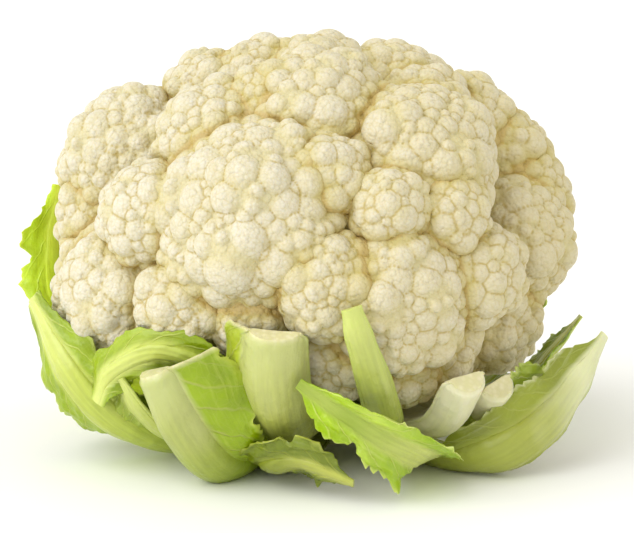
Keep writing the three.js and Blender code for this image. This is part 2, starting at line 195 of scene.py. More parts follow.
def direction(longitude, latitude):
    """The way out from the stalk's line. Longitude goes from the front towards the right."""
    lon, lat = math.radians(longitude), math.radians(latitude)
    return np.array([math.sin(lon) * math.cos(lat), -math.cos(lon) * math.cos(lat), math.sin(lat)])


def cells(points, size, seed):
    """How far the nearest of some scattered points about size apart is, and that point's own number."""
    corner = np.floor(points / size).astype(np.int64)
    nearest = np.full(len(points), 9.0 * size)
    mark = np.zeros(len(points))
    for step in itertools.product((-1, 0, 1), repeat=3):
        cell = corner + np.array(step)
        mixed = (np.bitwise_xor.reduce(cell * SCATTER, axis=1) ^ (seed * SCATTER_SEED)) & LAST_BITS
        parts = []
        for _ in range(3):
            mixed = ((mixed ^ (mixed >> 15)) * SCATTER_AGAIN) & LAST_BITS
            parts.append(mixed / LAST_BITS)
        away = points - (cell + 0.1 + 0.8 * np.stack(parts, 1)) * size
        distance = np.sqrt((away * away).sum(1))
        closer = distance < nearest
        nearest = np.where(closer, distance, nearest)
        mark = np.where(closer, parts[2], mark)
    return nearest, mark


def mesh_object(name, points, faces, material, node, marks):
    """A mesh from corners in millimetres. marks are numbers kept at each corner for its material."""
    mesh = bpy.data.meshes.new(name)
    mesh.vertices.add(len(points))
    mesh.vertices.foreach_set("co", (points * MM).astype(np.float32).ravel())
    sides = faces.shape[1]
    mesh.loops.add(faces.size)
    mesh.loops.foreach_set("vertex_index", faces.astype(np.int32).ravel())
    mesh.polygons.add(len(faces))
    mesh.polygons.foreach_set("loop_start", np.arange(0, faces.size, sides, dtype=np.int32))
    mesh.update(calc_edges=True)
    mesh.validate()
    mesh.shade_smooth()
    for mark, values in marks.items():
        layer = mesh.attributes.new(mark, "FLOAT", "POINT")
        layer.data.foreach_set("value", np.asarray(values, dtype=np.float32))
    made = bpy.data.objects.new(name, mesh)
    bpy.context.scene.collection.objects.link(made)
    mesh.materials.append(material)
    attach(made, "root")
    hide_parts(node)
    return made


BALLS = {}


def ball(steps):
    """Directions and triangles of a round ball, with each of an icosahedron's edges in that many steps."""
    if steps in BALLS:
        return BALLS[steps]
    g = (1 + math.sqrt(5)) / 2
    corners = np.array([
        (-1, g, 0), (1, g, 0), (-1, -g, 0), (1, -g, 0), (0, -1, g), (0, 1, g),
        (0, -1, -g), (0, 1, -g), (g, 0, -1), (g, 0, 1), (-g, 0, -1), (-g, 0, 1),
    ], dtype=float)
    sides = [
        (0, 11, 5), (0, 5, 1), (0, 1, 7), (0, 7, 10), (0, 10, 11), (1, 5, 9), (5, 11, 4),
        (11, 10, 2), (10, 7, 6), (7, 1, 8), (3, 9, 4), (3, 4, 2), (3, 2, 6), (3, 6, 8),
        (3, 8, 9), (4, 9, 5), (2, 4, 11), (6, 2, 10), (8, 6, 7), (9, 8, 1),
    ]
    rows = [(i, j) for i in range(steps + 1) for j in range(steps + 1 - i)]
    place = {row: k for k, row in enumerate(rows)}
    share = np.array(rows) / steps
    triangles = []
    for i, j in rows:
        if i + j < steps:
            triangles.append((place[i, j], place[i + 1, j], place[i, j + 1]))
        if i + j < steps - 1:
            triangles.append((place[i + 1, j], place[i + 1, j + 1], place[i, j + 1]))
    triangles = np.array(triangles)
    points, faces = [], []
    for a, b, c in sides:
        faces.append(triangles + len(rows) * len(points))
        one, two = corners[b] - corners[a], corners[c] - corners[a]
        points.append(corners[a] + share[:, :1] * one + share[:, 1:] * two)
    points = np.concatenate(points)
    points /= np.linalg.norm(points, axis=1, keepdims=True)
    _, first, same = np.unique(np.round(points, 6), axis=0, return_index=True, return_inverse=True)
    BALLS[steps] = (points[first], same.reshape(-1)[np.concatenate(faces)])
    return BALLS[steps]


def under_head(longitude, latitude, inset):
    """The point that far inside the head's surface."""
    ray = direction(longitude, latitude)
    vertical = HEAD_DOWN - inset / 2 if latitude < 0 else HEAD_UP - inset
    reach = 1 / math.hypot(
        ray[0] / (HEAD_HALF_WIDTH - inset), ray[1] / (HEAD_HALF_DEPTH - inset), ray[2] / vertical)
    return ray * reach + np.array([0, 0, HEAD_MIDDLE])


CENTRES = [under_head(lon, lat, radius - proud) for lon, lat, radius, proud in FRONT_FLORETS + BACK_FLORETS]


def exits(rays, middles, radii, least):
    """How far rays from the origin go before they leave the last of some balls.

    Also how much further that ball reaches than the next, and which ball it is.
    """
    along_ray = rays @ middles.T
    inside = radii ** 2 - (middles ** 2).sum(1) + along_ray ** 2
    reach = np.where(inside > 0, along_ray + np.sqrt(np.maximum(inside, 0)), 0)
    top = np.argmax(reach, 1)
    last = np.partition(reach, -2, axis=1)[:, -2:]
    return np.maximum(last[:, 1], least), last[:, 1] - last[:, 0], top


def scatter(draw, spread, large, small, outward):
    """Directions and sizes on a ball of radius 1: large ones first, then smaller ones in the room left."""
    facing = np.zeros((0, 3))
    sizes = np.zeros(0)
    least = math.cos(math.radians(spread["reach"]))
    for i in range(spread["tries"]):
        size = large * (small / large) ** ((i / spread["tries"]) ** spread["falloff"])
        height = 2 * next(draw) - 1
        turn = 2 * math.pi * next(draw)
        level = math.sqrt(1 - height * height)
        ray = np.array([level * math.cos(turn), level * math.sin(turn), height])
        if ray @ outward < least:
            continue
        apart = np.cos(np.minimum(spread["spacing"] * (sizes + size), math.pi))
        if np.all(facing @ ray < apart):
            facing = np.vstack([facing, ray])
            sizes = np.append(sizes, size)
    return facing, sizes


def floret(index, row, fineness, material):
    """One floret: a ball raised into swellings, small florets on those, and buds on them."""
    longitude, latitude, radius, proud = row
    centre = under_head(longitude, latitude, radius - proud)
    outward = centre - np.array([0, 0, HEAD_MIDDLE])
    outward /= np.linalg.norm(outward)
    draw = draws(FIRST_SEED + SEED_STEP * index)
    for _ in range(WARM_UP):
        next(draw)
    base, faces = ball(round(radius * fineness))
    level = np.hypot(base[:, 0], base[:, 1])
    polar = 2 * np.arctan2(CROWDING * level, 1 + base[:, 2])
    level = np.maximum(level, 1e-9)
    rays = np.stack([
        base[:, 0] / level * np.sin(polar), base[:, 1] / level * np.sin(polar), np.cos(polar)], 1)
    turn = np.array(Vector((0, 0, 1)).rotation_difference(Vector(outward)).to_matrix())
    rays = rays @ turn.T

    lobe_facing, lobe_sizes = scatter(draw, LOBES, LOBE_LARGEST, LOBE_SMALLEST, outward)
    lobe_sizes = lobe_sizes * radius
    lobe_middles = lobe_facing * (radius - lobe_sizes)[:, None]
    floor = LOBE_FLOOR * radius

    large = min(BUMP_LARGEST, BUMP_SHARE * radius + BUMP_START)
    facing, sizes = scatter(draw, BUMPS, large / radius, BUMP_SMALLEST / radius, outward)
    sizes = sizes * radius
    swell, _, _ = exits(facing, lobe_middles, lobe_sizes, floor)
    middles = facing * (swell - sizes * (BUMP_BALL - BUMP_PROUD))[:, None]

    swell, _, _ = exits(rays, lobe_middles, lobe_sizes, floor)
    reach, lead, top = exits(rays, middles, sizes * BUMP_BALL, 0)
    deepest = swell - BUMP_FLOOR
    held = reach > deepest
    reach = np.maximum(reach, deepest)
    crease = (1 - smooth(0, CREASE, lead)) * held
    away = rays * reach[:, None]
    normal = np.where(held[:, None], away - middles[top], rays)
    normal /= np.linalg.norm(normal, axis=1, keepdims=True)
    points = centre + away
    nearest, mark = cells(points, BUD, BUD_SEED)
    dome = np.sqrt(np.clip(1 - (nearest / (BUD_FOOT * BUD)) ** 2, 0, 1))
    points = points + normal * (BUD_HEIGHT * (dome - BUD_LEVEL))[:, None]
    ahead = np.clip(rays @ outward, 0, 1)
    shoulder = (ahead ** FULLNESS + (1 - ahead * ahead) ** (FULLNESS / 2)) ** (-1 / FULLNESS)
    points = centre + (points - centre) * shoulder[:, None]
    low = 1 - smooth(-BUMP_FLOOR, BUMP_LARGEST * BUMP_PROUD * LOW_GROUND, reach - swell)

    join = np.full(len(points), np.inf)
    for other, other_row in enumerate(FRONT_FLORETS + BACK_FLORETS):
        if other == index:
            continue
        apart = np.linalg.norm(points - CENTRES[other], axis=1) - other_row[2]
        join = np.minimum(join, apart)
    # crease, low and deep say where the curd is given painted shade: between domes, on low ground and where
    # florets meet
    marks = {"crease": crease, "low": low, "deep": 1 - smooth(*DEEP, join), "mark": mark}
    return mesh_object(f"floret_{index + 1:02d}", points, faces, material, "curd", marks)


def flesh(material):
    """The white flesh behind the florets and the branches that carry the low ones, as one rounded mesh."""
    built = bmesh.new()
    rings = []
    for radius, height in FLESH:
        ring = []
        for k in range(FLESH_SIDES):
            turn = 2 * math.pi * k / FLESH_SIDES
            ring.append(built.verts.new((
                radius * math.sin(turn), radius * math.cos(turn), STALK_HEIGHT + GAP + height)))
        rings.append(ring)
    for low, high in zip(rings, rings[1:]):
        for k in range(FLESH_SIDES):
            after = (k + 1) % FLESH_SIDES
            built.faces.new((low[k], high[k], high[after], low[after]))
    built.faces.new(rings[0])
    built.faces.new(rings[-1][::-1])
    for row, centre in zip(FRONT_FLORETS + BACK_FLORETS, CENTRES):
        if row[1] >= LOW:
            continue
        flat = np.array([centre[0], centre[1], 0])
        root = flat / np.linalg.norm(flat) * BRANCH_ROOT + np.array([0, 0, STALK_HEIGHT + BRANCH_ABOVE])
        reach = Vector(centre - root)
        facing = reach.to_track_quat("Z", "Y").to_matrix().to_4x4()
        bmesh.ops.create_cone(
            built, cap_ends=True, segments=BRANCH_SIDES, radius1=BRANCH_FOOT, radius2=row[2] * BRANCH_SPREAD,
            depth=reach.length, matrix=Matrix.Translation(Vector(root) + reach / 2) @ facing)
    mesh = bpy.data.meshes.new("curd_flesh")
    built.to_mesh(mesh)
    built.free()
    rough = bpy.data.objects.new("curd_flesh_rough", mesh)
    bpy.context.scene.collection.objects.link(rough)
    remesh = rough.modifiers.new("join", "REMESH")
    remesh.mode = "VOXEL"
    remesh.voxel_size = FLESH_STEP
    soften = rough.modifiers.new("soften", "SMOOTH")
    soften.iterations = FLESH_SOFTENING
    evaluated = rough.evaluated_get(bpy.context.evaluated_depsgraph_get())
    joined = bpy.data.meshes.new_from_object(evaluated)
    points = np.zeros(len(joined.vertices) * 3)
    joined.vertices.foreach_get("co", points)
    faces = np.array([tuple(side.vertices) for side in joined.polygons])
    bpy.data.objects.remove(rough)
    points = points.reshape(-1, 3)
    # The flesh behind the florets gets painted shade all over: that of low ground, and part of a crease's.
    marks = {"low": np.ones(len(points)), "deep": np.full(len(points), FLESH_DEPTH)}
    return mesh_object("curd_flesh", points, faces, material, "curd", marks)


def stalk(material):
    """The cut stalk, with the ridges of old leaf scars round it and the rings of its cut face below."""
    profile = [
        (0.5, 0.5), (5, 0.4), (9, 0.15), (12.5, 0.25), (STALK_FOOT - 1.5, 0), (STALK_FOOT, 0.3),
        (STALK_FOOT + 1.5, 2), (STALK_RADIUS - 0.4, 5), (STALK_RADIUS, 8), (STALK_RADIUS - 1, 13),
        (STALK_RADIUS, 17), (STALK_RADIUS - 0.5, 22), (STALK_RADIUS + 1, 27), (STALK_TOP, STALK_HEIGHT),
        (0.5, STALK_HEIGHT),
    ]
    radii, heights = [], []
    for (r0, z0), (r1, z1) in zip(profile, profile[1:]):
        for k in range(STALK_STEPS):
            radii.append(r0 + (r1 - r0) * k / STALK_STEPS)
            heights.append(z0 + (z1 - z0) * k / STALK_STEPS)
    radii.append(profile[-1][0])
    heights.append(profile[-1][1])
    radii, heights = np.array(radii), np.array(heights)
    turns = 2 * np.pi * np.arange(STALK_SIDES) / STALK_SIDES
    out, turn = np.meshgrid(np.arange(len(radii)), turns, indexing="ij")
    uneven = STALK_RIDGE * np.sin(5 * turn + heights[out] * 0.35) * (radii[out] > STALK_FOOT)
    reach = radii[out] + uneven
    points = np.stack([reach * np.sin(turn), -reach * np.cos(turn), heights[out]], -1).reshape(-1, 3)
    index = np.arange(len(radii) * STALK_SIDES).reshape(len(radii), STALK_SIDES)
    a, b = index[:-1], index[1:]
    faces = np.stack([a, np.roll(a, -1, 1), np.roll(b, -1, 1), b], -1).reshape(-1, 4)
    low, high = len(points), len(points) + 1
    points = np.vstack([points, [0, 0, 0.5], [0, 0, STALK_HEIGHT]])
    foot, top = index[0], index[-1]
    closing = [(low, after, here) for here, after in zip(foot, np.roll(foot, -1))]
    closing += [(high, here, after) for here, after in zip(top, np.roll(top, -1))]
    tris = np.concatenate([faces[:, [0, 1, 2]], faces[:, [0, 2, 3]], np.array(closing)])
    cut = np.append((radii[out] <= STALK_FOOT).reshape(-1) & (heights[out] < 2).reshape(-1), [True, False])
    return mesh_object("stalk_skin", points, tris, material, "stalk", {"cut": cut})


# Each leaf: the points of its middle line from the stalk outward, then its widths along that line. "rib" is
# the rib's half width, "thick" its thickness, and "left" and "right" the blades beside it. "cup" is the
# radius that it bends to across, "roll" how far it turns about its line in degrees, "wave" the height and
# number of its waves, "ragged" how uneven its edge is, "pleat" the height of its fine folds, and "front"
# the share of the rib that stands out of the outer face.
LEAVES = {
    "leaf_front_left_petiole": {
        "spine": [[-12, -11, 10], [-22, -38, 6], [-34, -62, 7], [-44, -75, 21], [-54, -77, 42]],
        "rib": [8, 9, 9.5, 9, 8], "thick": [7, 9, 11, 10, 8],
        "right": [0, 0, 9, 16, 20, 17], "cup": 26, "wave": [3, 1.7], "phase": 0.4, "ragged": 0.1,
    },
    "leaf_front_petiole": {
        "spine": [[-2, -16, 19], [-6, -42, 15], [-11, -66, 21], [-14, -81, 37], [-14, -88, 57]],
        "rib": [7, 9, 11, 11.5, 10.5], "thick": [7, 8, 10, 9.5, 8],
        "left": [0, 0, 2, 8, 10], "cup": 22,
    },
    "leaf_front_low": {
        "spine": [[0, -14, 4.5], [-6, -44, 3.5], [-15, -68, 7], [-5, -82, 12], [12, -89, 7]],
        "rib": [6, 6, 5, 3, 1], "thick": [6, 6, 4, 2.4, 1.2],
        "left": [0, 0, 7, 11, 1], "right": [0, 0, 7, 9, 1], "cup": 40, "ragged": 0.25, "pleat": 0.8,
    },
    "leaf_front_right_flap": {
        "spine": [[7, -14, 11], [26, -42, 6], [36, -65, 9], [33, -83, 15], [22, -93, 23], [8, -93, 32],
            [-6, -90, 41]],
        "rib": [6, 6, 5, 4, 3, 2, 1], "thick": [6, 6, 4, 3, 2.4, 2, 1.4],
        "left": [0, 0, 4, 7, 9, 7, 1], "right": [0, 0, 5, 9, 8, 5, 1], "cup": -16, "wave": [2.2, 2.6],
        "ragged": 0.25, "pleat": 1.1, "front": 0.3,
    },
    "leaf_front_sliver": {
        "spine": [[9, -14, 20], [19, -40, 14], [23, -66, 19], [20, -84, 36], [14, -95, 56], [11, -96, 67]],
        "rib": [5, 6, 6.5, 5.5, 4, 2.6], "thick": [5, 5, 4, 3.4, 2.8, 2], "cup": 14,
    },
    "leaf_front_left_fold": {
        "spine": [[-10, -13, 24], [-26, -48, 26], [-37, -69, 42], [-54, -70, 47], [-70, -62, 38],
            [-75, -60, 27]],
        "rib": [4, 4, 3.4, 3, 2.4, 1.4], "thick": [5, 5, 4, 3, 2.4, 1.4],
        "left": [0, 2, 5, 6, 6, 2], "right": [0, 2, 5, 6, 6, 2], "cup": 18, "ragged": 0.2,
    },
    "leaf_left_strip": {
        "spine": [[-16, -9, 16], [-36, -30, 11], [-50, -52, 14], [-60, -62, 25], [-67, -62, 36]],
        "rib": [4, 5, 4.6, 4, 2.6], "thick": [5, 5, 4.4, 3.6, 2],
        "left": [0, 3, 12, 12, 6], "cup": -30, "wave": [2, 2], "ragged": 0.35,
    },
    "leaf_left": {
        "spine": [[-18, -4, 8], [-46, -28, 5], [-68, -50, 17], [-85, -53, 35], [-100, -35, 58]],
        "rib": [6, 7, 7, 5, 2], "thick": [7, 7, 6, 4, 2],
        "left": [0, 3, 11, 12, 3], "right": [0, 3, 9, 9, 4], "roll": [0, 15, 35, 35, 20], "cup": 30,
        "ragged": 0.2,
    },
    "leaf_left_lobe": {
        "spine": [[-19, 3, 12], [-48, -6, 10], [-74, -20, 18], [-90, -28, 31]],
        "rib": [5, 4, 3, 1.4], "thick": [6, 5, 3, 1.6], "left": [0, 1, 10, 12, 4], "right": [0, 1, 7, 10, 4],
        "roll": [0, 20, 80], "ragged": 0.2,
    },
    "leaf_left_tall": {
        "spine": [[-18, 7, 19], [-48, 14, 13], [-82, 15, 22], [-97, 12, 48], [-99, 12, 70], [-96, 15, 92]],
        "rib": [6, 6, 5, 4, 2.6, 1.2], "thick": [7, 6, 5, 4, 2.6, 1.4],
        "left": [0, 0, 4, 5, 5, 4, 1], "right": [0, 0, 4, 4, 7, 8, 2], "roll": [0, 0, -20, -50, -50],
        "cup": -30, "wave": [2, 3], "ragged": 0.35,
    },
    "leaf_right_stub_front": {
        "spine": [[13, -13, 24], [30, -38, 17], [43, -61, 22], [50, -77, 39]],
        "rib": [6, 7, 8, 8], "thick": [8, 8, 9, 8], "cup": 20,
    },
    "leaf_right_stub": {
        "spine": [[18, -7, 25], [42, -26, 18], [56, -44, 20], [62, -60, 33]],
        "rib": [6, 7, 7.5, 7], "thick": [8, 8, 9, 8], "cup": 20,
    },
    "leaf_right": {
        "spine": [[13, -12, 9], [42, -42, 5], [60, -59, 8], [77, -57, 17], [90, -47, 30], [101, -38, 46]],
        "rib": [7, 8, 8, 7, 5, 1.4], "thick": [7, 8, 7, 6, 4, 1.4],
        "left": [0, 3, 8, 11, 9, 1], "right": [0, 2, 2, 2, 1.5, 1], "roll": [0, -10, -35, -42, -40, -30],
        "cup": 30, "ragged": 0.2,
    },
    "leaf_right_frill": {
        "spine": [[17, -9, 15], [33, -31, 10], [51, -48, 16], [66, -52, 24], [79, -44, 33]],
        "rib": [3, 3, 3, 2.4, 1.2], "thick": [4, 2.6, 2.6, 2.4, 1.4],
        "left": [0, 1, 8, 10, 5], "right": [0, 1, 1, 1, 1], "roll": [0, 0, -20, -30, -20],
        "cup": 40, "wave": [2, 3], "ragged": 0.35,
    },
    "leaf_right_thin": {
        "spine": [[19, 1, 18], [46, 0, 13], [74, -1, 19], [88, -1, 33], [98, 0, 45]],
        "rib": [5, 5, 4, 3, 1], "thick": [6, 5, 4, 3, 1.4],
        "left": [0, 2, 5, 4, 1], "right": [0, 2, 8, 8, 2], "cup": 40, "ragged": 0.25,
    },
}

# Longitude, height of the foot, share of a whole leaf that is left, and width of the blade
BACK_LEAVES = [(118, 8, 1, 9), (145, 20, 0.55, 0), (172, 9, 0.9, 10), (200, 20, 0.6, 0), (228, 9, 1, 8)]


def back_leaf(longitude, base, share, blade):
    """A leaf of the back, or a cut stub where it has no blade."""
    lon = math.radians(longitude)
    narrowing = HEAD_HALF_DEPTH / HEAD_HALF_WIDTH
    path = [(18, base), (44, 4 + base / 2), (70, 7 + base / 2), (86, 26), (97, 50), (98, 66)]
    kept = path[:math.ceil(len(path) * share)]
    return {
        "spine": [(math.sin(lon) * out, -math.cos(lon) * out * narrowing, height) for out, height in kept],
        "rib": [7, 8, 7, 4, 1.4] if blade else [7, 8, 9],
        "thick": [7, 8, 6, 4, 1.4] if blade else [7, 8, 9],
        "left": [0, blade * 0.5, blade, blade, 1], "right": [0, blade * 0.4, blade, blade * 0.8, 1],
        "cup": 30 if blade else 20, "ragged": 0.25, "phase": longitude, "wave": [blade / 5, 2],
    }


def leaf_line(spine, share):
    """The point on a smooth line through a leaf's spine points."""
    points = np.array(spine, dtype=float)
    last = len(points) - 1
    place = share * last
    i = min(int(place), last - 1)
    t = place - i
    before = points[i - 1] if i > 0 else 2 * points[0] - points[1]
    after = points[i + 2] if i + 2 <= last else 2 * points[last] - points[last - 1]
    start, end = points[i], points[i + 1]
    leave, arrive = (end - before) / 2, (after - start) / 2
    return (start + leave * t + (3 * (end - start) - 2 * leave - arrive) * t ** 2
            + (2 * (start - end) + leave + arrive) * t ** 3)


def along(values, share):
    """A value along a leaf, from a list of evenly spaced ones joined smoothly."""
    place = share * (len(values) - 1)
    i = min(int(place), len(values) - 2)
    ease = (1 - math.cos(math.pi * (place - i))) / 2
    return values[i] + (values[i + 1] - values[i]) * ease


def uneven_edge(share, hand, ragged, phase):
    """How far a leaf's edge goes in and out: the broad lobes of the solid, and finer teeth on them."""
    broad = 0.6 * math.sin(17 * share + phase + hand) + 0.4 * math.sin(41 * share + 2 * phase)
    fine = 0.5 * math.sin(97 * share + 3 * phase + 2 * hand) * math.sin(61 * share + hand)
    bitten = 0.5 + 0.5 * math.sin(29 * share + phase)
    teeth = 0.5 * abs(math.sin(131 * share + phase * 5 + hand)) * bitten - 0.2
    torn = -1.1 * max(0, math.sin(23 * share + 4 * phase + 3 * hand)) ** 12
    return 1 + ragged * (broad + fine + teeth + torn)


def leaf_mesh(name, leaf, material):
    """A leaf as rows of corners on its outer and inner face: blade, rib, blade, joined round the edge."""
    leaf = PLAIN_LEAF | leaf
    spine, rib, left, right = leaf["spine"], leaf["rib"], leaf["left"], leaf["right"]
    cup, wave, ragged, phase = leaf["cup"], leaf["wave"], leaf["ragged"], leaf["phase"]
    front = leaf["front"]
    was_cut = rib[-1] > CUT_RIB
    rib_places = np.sin(np.linspace(-np.pi / 2, np.pi / 2, RIB_CORNERS))
    counts = [BLADE_CORNERS if max(widths) > NARROW else NARROW_CORNERS for widths in (left, right)]
    left_places, right_places = (np.arange(1, count + 1) / count for count in counts)
    hand = np.concatenate([-np.ones(len(left_places)), np.sign(rib_places), np.ones(len(right_places))])
    part = np.concatenate([left_places[::-1], np.abs(rib_places), right_places])
    is_rib = np.repeat([False, True, False], [len(left_places), RIB_CORNERS, len(right_places)])
    outer, inner, marks = [], [], {"rib": [], "slant": [], "edge": [], "along": [], "across": []}
    for i in range(LEAF_ROWS + 1):
        share = i / LEAF_ROWS
        middle = leaf_line(spine, share)
        line = leaf_line(spine, min(1, share + NEARBY)) - leaf_line(spine, max(0, share - NEARBY))
        line /= np.linalg.norm(line)
        away = middle - HEART
        side = np.cross(line, away / np.linalg.norm(away))
        side /= np.linalg.norm(side)
        angle = math.radians(along(leaf["roll"], share))
        side = side * math.cos(angle) + np.cross(line, side) * math.sin(angle)
        outward = np.cross(side, line)
        worn = 1 - WORN * smooth(WORN_FROM, 1, share) if was_cut else 1
        rib_half = along(rib, share) * worn
        blade = np.where(
            hand < 0,
            max(NARROWEST, along(left, share) * uneven_edge(share, -1, ragged, phase)),
            max(NARROWEST, along(right, share) * uneven_edge(share, 1, ragged, phase)))
        offset = hand * np.where(is_rib, rib_half * part, rib_half + blade * part)
        across_blade = np.where(is_rib, 0, part)
        wide = np.minimum(1, blade / WHOLE_WIDTH)
        lift = wave[0] * across_blade ** 2 * wide * np.sin(2 * np.pi * wave[1] * share + phase + hand)
        lift += RIPPLE * across_blade ** 3 * wide * np.sin(RIPPLES * share + 2 * phase + 3 * hand)
        folds = leaf["pleat"] * across_blade * wide * smooth(*PLEATED, share)
        lift += folds * np.sin(PLEATS_ACROSS * offset + PLEATS_ALONG * share + phase)
        slant = share * VEINS + VEIN_SLANT * across_blade * wide + 0.35 * np.sin(3 * hand + phase)
        between = np.abs((slant % 1) - 0.5) * 2
        vein = np.where(is_rib, 0, smooth(0.6, 1, between) * (1 - 0.5 * across_blade) * (wide > 0.35))
        puffed = 4 * (1 - between ** 2) * wide * across_blade * (1 - across_blade)
        puff = PUFF * np.where(is_rib, 0, puffed)
        on_rib = np.where(is_rib, np.sqrt(np.maximum(0, 1 - part ** 2)), 0)
        thin = 1 - EDGE_THINNING * across_blade ** 4
        strings = np.where(is_rib, STRING * np.sin(offset * STRINGS + phase), 0)
        swell = (along(leaf["thick"], share) * worn - BLADE) * on_rib
        base = (middle + np.outer(cup * np.sin(offset / cup), side)
                + np.outer(lift - cup * (1 - np.cos(offset / cup)), outward))
        up_face = BLADE / 2 * thin + front * swell + strings * (swell > 1) + VEIN_PROUD * vein * thin - puff
        down_face = BLADE / 2 * thin + (1 - front) * swell - VEIN_SUNK * vein * thin + puff
        high = base + outward * up_face[:, None]
        low = base - outward * down_face[:, None]
        high[:, 2] = np.maximum(high[:, 2], TABLE)
        low[:, 2] = np.maximum(low[:, 2], TABLE + BLADE * 0.6)
        outer.append(high)
        inner.append(low)
        marks["rib"].append(np.where(is_rib, 1, np.maximum(0, 1 - across_blade * blade / RIB_FADE)))
        marks["slant"].append(slant)
        marks["edge"].append(across_blade * wide)
        marks["along"].append(np.full(len(part), share))
        marks["across"].append(offset / FIBRES)
    columns = len(part)
    size = (LEAF_ROWS + 1) * columns
    index = np.arange(size).reshape(LEAF_ROWS + 1, columns)
    a, b, c, d = index[:-1, :-1], index[:-1, 1:], index[1:, 1:], index[1:, :-1]
    faces = [np.stack([a, b, c, d], -1).reshape(-1, 4), np.stack([a, d, c, b], -1).reshape(-1, 4) + size]
    for rim in (index[:, 0][::-1], index[:, -1], index[0, :], index[-1, :][::-1]):
        start, end = rim[:-1], rim[1:]
        faces.append(np.stack([end, start, start + size, end + size], -1))
    points = np.concatenate([np.concatenate(outer), np.concatenate(inner)])
    marks = {key: np.tile(np.concatenate(values), 2) for key, values in marks.items()}
    marks["inner"] = np.repeat([0, 1], size)
    marks["cut"] = smooth(CUT_FROM, 1, marks["along"]) * was_cut
    made = mesh_object(name, points, np.concatenate(faces), material, name, marks)
    made.data.set_sharp_from_angle(angle=math.radians(SHARP))
    return made


class Nodes:
    """Short ways to build a material's nodes."""

    def __init__(self, name):
        self.material = bpy.data.materials.new(name)
        self.material.use_nodes = True
        self.tree = self.material.node_tree
        self.shader = self.tree.nodes["Principled BSDF"]

    def add(self, kind, **settings):
        node = self.tree.nodes.new(kind)
        for key, value in settings.items():
            setattr(node, key, value)
        return node

    def link(self, value, socket):
        """Join an output to an input, or set the input where the value is a plain one."""
        if isinstance(value, bpy.types.NodeSocket):
            self.tree.links.new(value, socket)
        else:
            socket.default_value = value

    def mark(self, name):
        """A number that the mesh keeps at each corner."""
        return self.add("ShaderNodeAttribute", attribute_name=name).outputs["Fac"]

    def place(self):
        """Where a point is, in metres."""
        return self.add("ShaderNodeTexCoord").outputs["Object"]

    def noise(self, scale, detail=3, stretch=None):
        """Soft blotches, about that many in a metre."""
        node = self.add("ShaderNodeTexNoise")
        node.inputs["Scale"].default_value = scale
        node.inputs["Detail"].default_value = detail
        vector = self.place()
        if stretch:
            mapping = self.add("ShaderNodeMapping")
            mapping.inputs["Scale"].default_value = stretch
            self.link(vector, mapping.inputs["Vector"])
            vector = mapping.outputs["Vector"]
        self.link(vector, node.inputs["Vector"])
        return node.outputs["Fac"]

    def grains(self, scale):
        """Distances to the middles of scattered grains."""
        node = self.add("ShaderNodeTexVoronoi", feature="F1")
        node.inputs["Scale"].default_value = scale
        self.link(self.place(), node.inputs["Vector"])
        return node.outputs["Distance"]

    def borders(self, scale):
        """Distances to the borders between scattered grains."""
        node = self.add("ShaderNodeTexVoronoi", feature="DISTANCE_TO_EDGE")
        node.inputs["Scale"].default_value = scale
        self.link(self.place(), node.inputs["Vector"])
        return node.outputs["Distance"]

    def domes(self, distance):
        """A height that is greatest in the middle of each grain."""
        return self.math("MULTIPLY", self.math("MULTIPLY", distance, distance), -1.0)

    def across_head(self):
        """How far to the right a point is, in metres."""
        parts = self.add("ShaderNodeSeparateXYZ")
        self.link(self.place(), parts.inputs[0])
        return parts.outputs["X"]

    def fibres(self, across, along_leaf):
        """Streaks that run along a leaf."""
        vector = self.add("ShaderNodeCombineXYZ").outputs[0]
        self.link(self.math("MULTIPLY", self.mark("across"), float(across)), vector.node.inputs["X"])
        self.link(self.math("MULTIPLY", self.mark("along"), float(along_leaf)), vector.node.inputs["Y"])
        node = self.add("ShaderNodeTexNoise")
        node.inputs["Scale"].default_value = 1.0
        node.inputs["Detail"].default_value = 4
        self.link(vector, node.inputs["Vector"])
        return node.outputs["Fac"]

    def math(self, operation, a, b=0.0):
        node = self.add("ShaderNodeMath", operation=operation)
        self.link(a, node.inputs[0])
        self.link(b, node.inputs[1])
        return node.outputs[0]

    def ramp(self, value, low, high, start=0.0, end=1.0):
        """A number that goes from start to end as the value goes from low to high."""
        node = self.add("ShaderNodeMapRange", clamp=True)
        self.link(value, node.inputs["Value"])
        node.inputs["From Min"].default_value = low
        node.inputs["From Max"].default_value = high
        node.inputs["To Min"].default_value = start
        node.inputs["To Max"].default_value = end
        return node.outputs["Result"]

    def mix(self, share, a, b):
        """Colour a, turning into colour b as share goes from 0 to 1."""
        node = self.add("ShaderNodeMix", data_type="RGBA")
        self.link(share, node.inputs["Factor"])
        self.link(a, node.inputs[6])
        self.link(b, node.inputs[7])
        return node.outputs[2]

    def tint(self, base, code, amount, mark):
        """A base colour, mixed by that amount with another one where the mark is 1."""
        return self.mix(self.math("MULTIPLY", self.mark(mark), amount), base, colour(code))

    def bump(self, height, strength, distance, before=None):
        """Relief of that height, in metres, on top of what came before."""
        node = self.add("ShaderNodeBump")
        node.inputs["Strength"].default_value = strength
        node.inputs["Distance"].default_value = distance
        self.link(height, node.inputs["Height"])
        if before:
            self.link(before, node.inputs["Normal"])
        return node.outputs["Normal"]


CUT_FACE = (228, 222, 184)
CUT_GRAIN = (216, 210, 160)
# Colours of the curd: cream, dull and white are its own; the others are painted shade for its crevices, low
# ground, creases and right side.
CURD = {
    "cream": (222, 216, 197), "dull": (213, 205, 176), "white": (231, 228, 219), "grain": (206, 190, 140),
    "border": (195, 177, 102), "shaded_right": (200, 185, 132), "low": (204, 191, 122), "crease": (178, 152, 60),
    "deep": (194, 177, 86), "deepest_crease_shade": (180, 140, 60),
}


def colour(code):
    """A colour written as red, green and blue from 0 to 255, as the shader wants it."""
    linear = [((v / 255 + 0.055) / 1.055) ** 2.4 if v > 10 else v / 3300 for v in code]
    return (*linear, 1.0)


def darker(code, share):
    """That colour with each part brought down to a share of it."""
    return colour([value * share for value in code])


